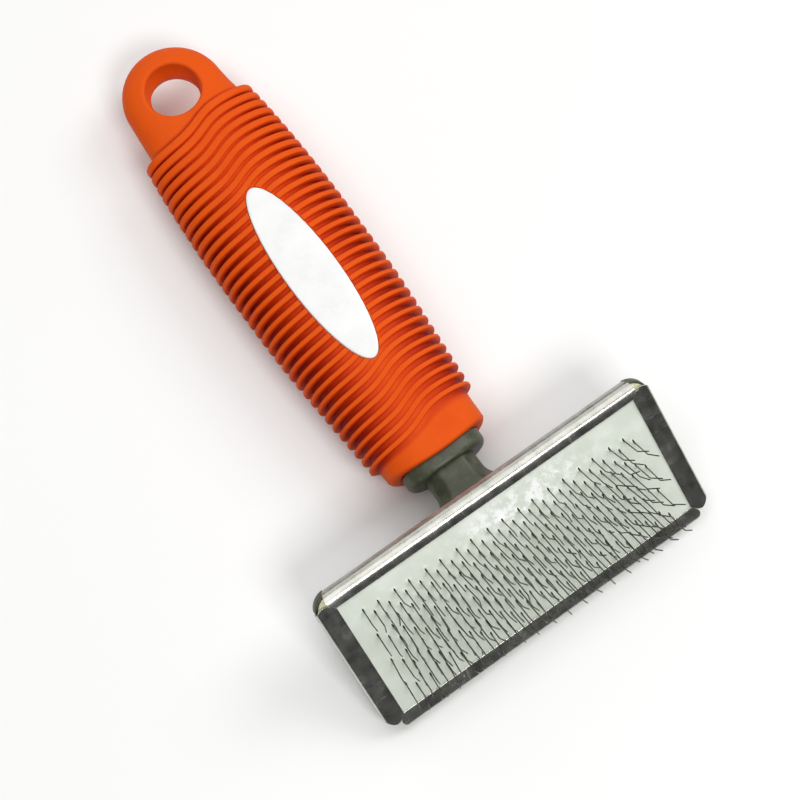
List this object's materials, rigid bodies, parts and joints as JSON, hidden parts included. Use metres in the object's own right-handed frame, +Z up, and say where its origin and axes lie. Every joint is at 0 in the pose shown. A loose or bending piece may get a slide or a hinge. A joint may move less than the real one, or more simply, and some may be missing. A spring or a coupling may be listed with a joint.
{
  "type": "slicker brush",
  "caption": "Hand-held grooming brush with a soft ribbed grip, hanging hole and a tilted rectangular head of bent wire pins held by folded steel rails.",
  "frame": {"origin": "centre of the box around the brush, on the surface that it lies on", "axes": "+Y from the head towards the hanging end, +X across the head, +Z up out of the face of the grip that carries the badge"},
  "size_m": [0.1074, 0.2014, 0.0357],
  "materials": {
    "grip_rubber": "moulded soft rubber, satin",
    "core_plastic": "moulded, satin",
    "badge_plastic": "glossy, slightly domed, blank",
    "rail_steel": "bright with fine scratches",
    "face_rubber": "smooth pale skin, slightly wrinkled",
    "foundation_cloth": "woven and rubberised",
    "cushion_foam": "open foam",
    "pin_steel": "drawn wire, satin"
  },
  "bodies": {
    "handle": {"grip_sleeve": "grip_rubber", "handle_core": "core_plastic", "badge": "badge_plastic", "rail_near": "rail_steel", "rail_left": "rail_steel", "rail_far": "rail_steel", "rail_right": "rail_steel", "face_skin": "face_rubber", "pin_foundation": "foundation_cloth", "foam_cushion": "cushion_foam"},
    "pins_01": {"pin_row_01": "pin_steel"},
    "pins_02": {"pin_row_02": "pin_steel"},
    "pins_03": {"pin_row_03": "pin_steel"},
    "pins_04": {"pin_row_04": "pin_steel"},
    "pins_05": {"pin_row_05": "pin_steel"},
    "pins_06": {"pin_row_06": "pin_steel"},
    "pins_07": {"pin_row_07": "pin_steel"},
    "pins_08": {"pin_row_08": "pin_steel"},
    "pins_09": {"pin_row_09": "pin_steel"},
    "pins_10": {"pin_row_10": "pin_steel"},
    "pins_11": {"pin_row_11": "pin_steel"},
    "pins_12": {"pin_row_12": "pin_steel"},
    "pins_13": {"pin_row_13": "pin_steel"},
    "pins_14": {"pin_row_14": "pin_steel"}
  },
  "joints": [
    {"name": "pins_01_rock", "type": "hinge", "parent": "handle", "child": "pins_01", "pos_m": [-0.0011, -0.06882, 0.02461], "axis": [0.9995, -0.0254, -0.0213], "range_deg": [-6, 6], "stiffness_Nm_per_rad": 0.25},
    {"name": "pins_02_rock", "type": "hinge", "parent": "handle", "child": "pins_02", "pos_m": [0.00127, -0.07047, 0.02322], "axis": [0.9995, -0.0254, -0.0213], "range_deg": [-6, 6], "stiffness_Nm_per_rad": 0.25},
    {"name": "pins_03_rock", "type": "hinge", "parent": "handle", "child": "pins_03", "pos_m": [-0.00124, -0.072, 0.02194], "axis": [0.9995, -0.0254, -0.0213], "range_deg": [-6, 6], "stiffness_Nm_per_rad": 0.25},
    {"name": "pins_04_rock", "type": "hinge", "parent": "handle", "child": "pins_04", "pos_m": [0.00113, -0.07366, 0.02055], "axis": [0.9995, -0.0254, -0.0213], "range_deg": [-6, 6], "stiffness_Nm_per_rad": 0.25},
    {"name": "pins_05_rock", "type": "hinge", "parent": "handle", "child": "pins_05", "pos_m": [-0.00138, -0.07519, 0.01927], "axis": [0.9995, -0.0254, -0.0213], "range_deg": [-6, 6], "stiffness_Nm_per_rad": 0.25},
    {"name": "pins_06_rock", "type": "hinge", "parent": "handle", "child": "pins_06", "pos_m": [0.00099, -0.07684, 0.01788], "axis": [0.9995, -0.0254, -0.0213], "range_deg": [-6, 6], "stiffness_Nm_per_rad": 0.25},
    {"name": "pins_07_rock", "type": "hinge", "parent": "handle", "child": "pins_07", "pos_m": [-0.00152, -0.07837, 0.01659], "axis": [0.9995, -0.0254, -0.0213], "range_deg": [-6, 6], "stiffness_Nm_per_rad": 0.25},
    {"name": "pins_08_rock", "type": "hinge", "parent": "handle", "child": "pins_08", "pos_m": [0.00085, -0.08003, 0.0152], "axis": [0.9995, -0.0254, -0.0213], "range_deg": [-6, 6], "stiffness_Nm_per_rad": 0.25},
    {"name": "pins_09_rock", "type": "hinge", "parent": "handle", "child": "pins_09", "pos_m": [-0.00165, -0.08156, 0.01392], "axis": [0.9995, -0.0254, -0.0213], "range_deg": [-6, 6], "stiffness_Nm_per_rad": 0.25},
    {"name": "pins_10_rock", "type": "hinge", "parent": "handle", "child": "pins_10", "pos_m": [0.00072, -0.08321, 0.01253], "axis": [0.9995, -0.0254, -0.0213], "range_deg": [-6, 6], "stiffness_Nm_per_rad": 0.25},
    {"name": "pins_11_rock", "type": "hinge", "parent": "handle", "child": "pins_11", "pos_m": [-0.00179, -0.08474, 0.01125], "axis": [0.9995, -0.0254, -0.0213], "range_deg": [-6, 6], "stiffness_Nm_per_rad": 0.25},
    {"name": "pins_12_rock", "type": "hinge", "parent": "handle", "child": "pins_12", "pos_m": [0.00058, -0.0864, 0.00986], "axis": [0.9995, -0.0254, -0.0213], "range_deg": [-6, 6], "stiffness_Nm_per_rad": 0.25},
    {"name": "pins_13_rock", "type": "hinge", "parent": "handle", "child": "pins_13", "pos_m": [-0.00193, -0.08793, 0.00858], "axis": [0.9995, -0.0254, -0.0213], "range_deg": [-6, 6], "stiffness_Nm_per_rad": 0.25},
    {"name": "pins_14_rock", "type": "hinge", "parent": "handle", "child": "pins_14", "pos_m": [0.00044, -0.08958, 0.00719], "axis": [0.9995, -0.0254, -0.0213], "range_deg": [-6, 6], "stiffness_Nm_per_rad": 0.25}
  ]
}
